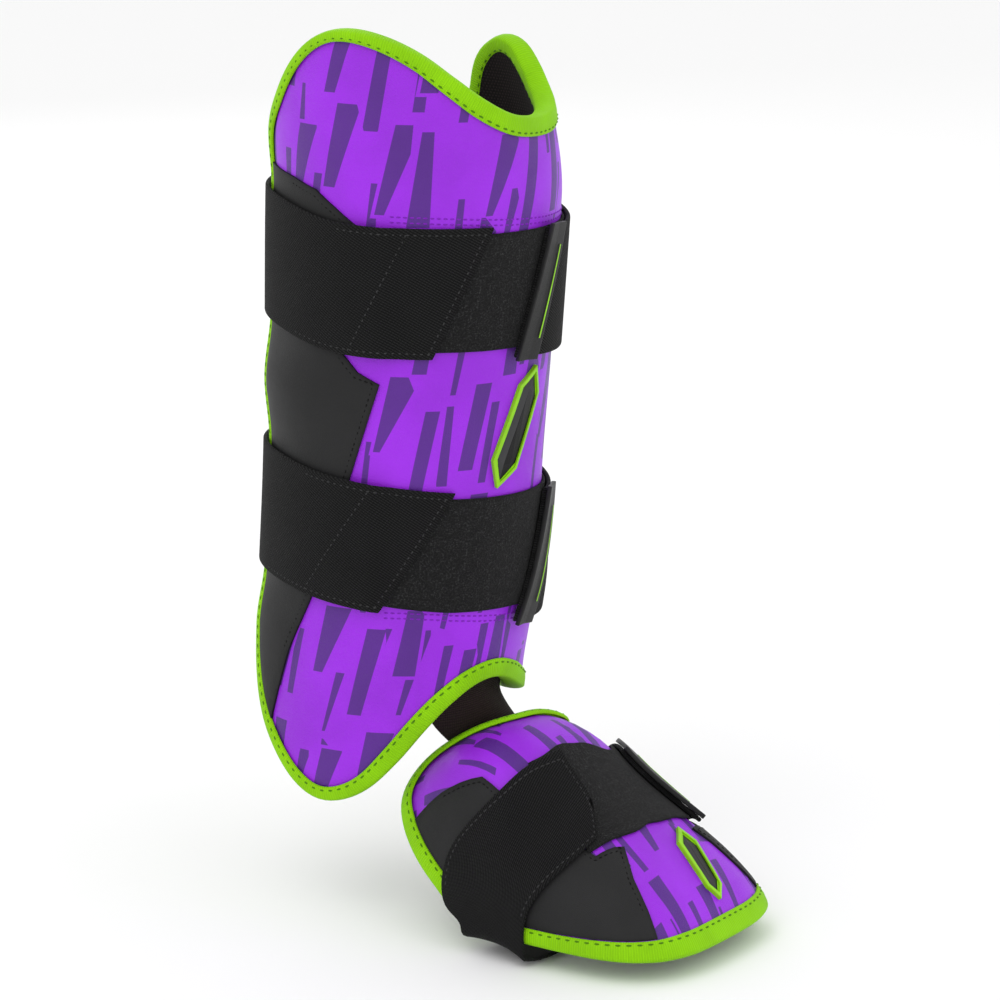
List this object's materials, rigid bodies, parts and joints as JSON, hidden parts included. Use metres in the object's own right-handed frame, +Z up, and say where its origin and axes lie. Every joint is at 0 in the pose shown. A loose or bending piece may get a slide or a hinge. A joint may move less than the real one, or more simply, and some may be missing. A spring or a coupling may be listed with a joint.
{
  "type": "leg guard",
  "caption": "Padded leg guard for a right leg in its worn form: a shin shell on wrap straps, joined by an elastic to a foot guard with a strap under the sole.",
  "frame": {"origin": "on the leg's axis half way up the shin shell, between its two straps", "axes": "+Z up along the leg, -Y to the toes, -X to the outer side of the right leg"},
  "size_m": [0.1318, 0.2479, 0.4033],
  "materials": {
    "purple": "semi-gloss synthetic leather with a fine grain and a printed pattern of strokes",
    "lime": "woven binding tape and raised moulding",
    "lining": "matte mesh and ribbed knit",
    "charcoal": "satin synthetic leather",
    "black": "matte twill webbing",
    "felt": "matte brushed loop",
    "rubber": "satin moulded"
  },
  "bodies": {
    "root": {"shin_shell": "purple", "shin_lining": "lining", "shin_binding": "lime", "shin_side_panel": "charcoal", "shin_badge": "lime", "upper_strap": "black", "upper_landing": "felt", "upper_pull_tab": "rubber", "lower_strap": "black", "lower_landing": "felt", "lower_pull_tab": "rubber", "ankle_elastic": "lining", "foot_shell": "purple", "foot_binding": "lime", "foot_outer_panel": "charcoal", "foot_inner_panel": "charcoal", "foot_badge": "lime", "foot_strap": "black", "foot_landing": "felt", "foot_pull_tab": "rubber"}
  },
  "joints": []
}
